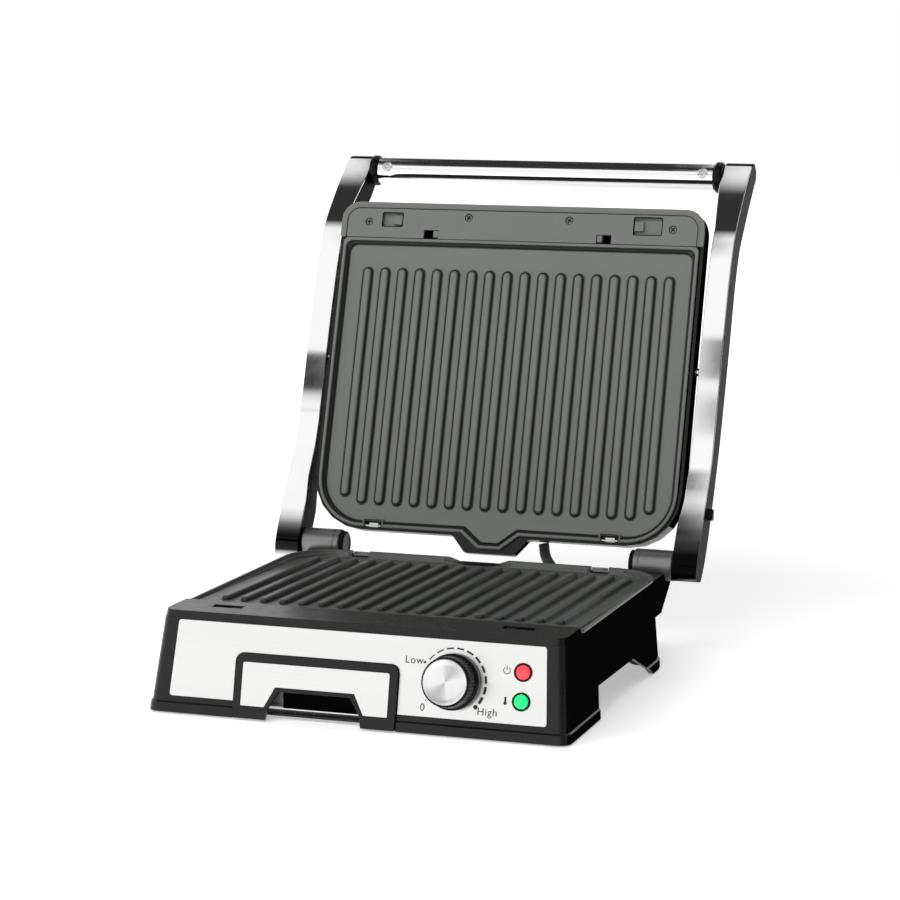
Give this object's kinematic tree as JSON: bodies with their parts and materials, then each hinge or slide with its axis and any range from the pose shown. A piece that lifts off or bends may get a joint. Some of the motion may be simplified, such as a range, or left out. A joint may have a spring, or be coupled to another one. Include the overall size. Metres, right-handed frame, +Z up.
{
  "type": "panini press",
  "caption": "Ribbed contact grill with a floating lid on curved chrome arms, lift-off plates, thermostat knob and pull-out drip tray.",
  "frame": {"origin": "on the worktop, under the middle of the box round the open press", "axes": "+X to the right seen from the front, -Y towards the user, +Z up"},
  "size_m": [0.3536, 0.4916, 0.3788],
  "materials": {
    "black_plastic": "gloss black heat-resistant plastic",
    "non_stick_coating": "satin dark grey non-stick coating on cast aluminium",
    "brushed_steel": "brushed along X",
    "polished_chrome": "mirror polished",
    "dark_satin_metal": "satin dark plated metal",
    "bright_steel": "plain bright steel",
    "aluminium": "satin, spun on the knob cap",
    "heater_sheath": "heat-tinted sheath",
    "rubber": "matte",
    "red_lens": "clear red lens",
    "green_lens": "clear green lens",
    "lead_sleeve": "dark woven heat sleeve"
  },
  "bodies": {
    "base": {"barrel_cap_left": "black_plastic", "barrel_cap_right": "black_plastic", "base_bottom_cover": "black_plastic", "base_shell": "black_plastic", "cord_gland": "black_plastic", "foot_pad_front_left": "rubber", "foot_pad_front_right": "rubber", "foot_pad_rear_left": "rubber", "foot_pad_rear_right": "rubber", "front_panel": "brushed_steel", "hinge_barrel_left": "dark_satin_metal", "hinge_barrel_right": "dark_satin_metal", "hinge_pin_left": "bright_steel", "hinge_pin_right": "bright_steel", "jumper_lead": "lead_sleeve", "lamp_lens_power": "red_lens", "lamp_lens_ready": "green_lens", "lamp_ring_power": "black_plastic", "lamp_ring_ready": "black_plastic", "lower_clip_left": "bright_steel", "lower_clip_right": "bright_steel", "lower_heating_element": "heater_sheath", "lower_reflector": "aluminium", "thermostat_body": "aluminium", "tray_guide": "black_plastic"},
    "knob": {"knob_body": "black_plastic", "knob_cap": "aluminium", "knob_shaft": "bright_steel"},
    "tray": {"tray_front": "black_plastic", "tray_face": "brushed_steel", "tray_pan": "aluminium"},
    "lower_plate": {"lower_plate": "non_stick_coating"},
    "latch_lower_left": {"latch_lower_left": "black_plastic"},
    "latch_lower_right": {"latch_lower_right": "black_plastic"},
    "arms": {"arm_left": "black_plastic", "arm_right": "black_plastic", "arm_trim_left": "polished_chrome", "arm_trim_right": "polished_chrome", "handle_tube": "polished_chrome", "handle_collar_left": "black_plastic", "handle_collar_right": "black_plastic", "handle_screw_left": "bright_steel", "handle_screw_right": "bright_steel", "float_pin_left": "bright_steel", "float_pin_right": "bright_steel"},
    "hinge_lock": {"hinge_lock_button": "black_plastic"},
    "lid": {"lid_housing": "black_plastic", "lid_cover": "brushed_steel", "lid_strip": "non_stick_coating", "strip_screw_1": "bright_steel", "strip_screw_2": "bright_steel", "strip_screw_3": "bright_steel", "strip_screw_4": "bright_steel", "upper_reflector": "aluminium", "upper_heating_element": "heater_sheath", "upper_clip_left": "bright_steel", "upper_clip_right": "bright_steel"},
    "latch_upper_left": {"latch_upper_left": "black_plastic"},
    "latch_upper_right": {"latch_upper_right": "black_plastic"},
    "upper_plate": {"upper_plate": "non_stick_coating"}
  },
  "joints": [
    {"name": "lid_hinge", "type": "hinge", "parent": "base", "child": "arms", "pos_m": [0, 0.0778, 0.0711], "axis": [-1, 0, 0], "range_deg": [-106.8, 72], "deforming": ["jumper_lead"]},
    {"name": "lid_float", "type": "hinge", "parent": "arms", "child": "lid", "pos_m": [0, 0.13818, 0.21637], "axis": [1, 0, 0], "range_deg": [0, 8]},
    {"name": "knob_turn", "type": "hinge", "parent": "base", "child": "knob", "pos_m": [0.0714, -0.22243, 0.03771], "axis": [0, 0.9794, -0.2018], "range_deg": [0, 250]},
    {"name": "tray_slide", "type": "slide", "parent": "base", "child": "tray", "axis": [0, -1, 0], "range_m": [0, 0.09]},
    {"name": "lower_plate_lift", "type": "slide", "parent": "base", "child": "lower_plate", "axis": [0, 0, 1], "range_m": [0, 0.06]},
    {"name": "upper_plate_lift", "type": "slide", "parent": "lid", "child": "upper_plate", "axis": [0, -0.9558, 0.294], "range_m": [0, 0.05]},
    {"name": "latch_upper_left_slide", "type": "slide", "parent": "lid", "child": "latch_upper_left", "axis": [-1, 0, 0], "range_m": [0, 0.005], "stiffness_N_per_m": 150},
    {"name": "latch_lower_left_slide", "type": "slide", "parent": "base", "child": "latch_lower_left", "axis": [-1, 0, 0], "range_m": [0, 0.005], "stiffness_N_per_m": 150},
    {"name": "latch_upper_right_slide", "type": "slide", "parent": "lid", "child": "latch_upper_right", "axis": [1, 0, 0], "range_m": [0, 0.005], "stiffness_N_per_m": 150},
    {"name": "latch_lower_right_slide", "type": "slide", "parent": "base", "child": "latch_lower_right", "axis": [1, 0, 0], "range_m": [0, 0.005], "stiffness_N_per_m": 150},
    {"name": "hinge_lock_press", "type": "slide", "parent": "arms", "child": "hinge_lock", "axis": [-1, 0, 0], "range_m": [0, 0.0035], "stiffness_N_per_m": 300}
  ]
}
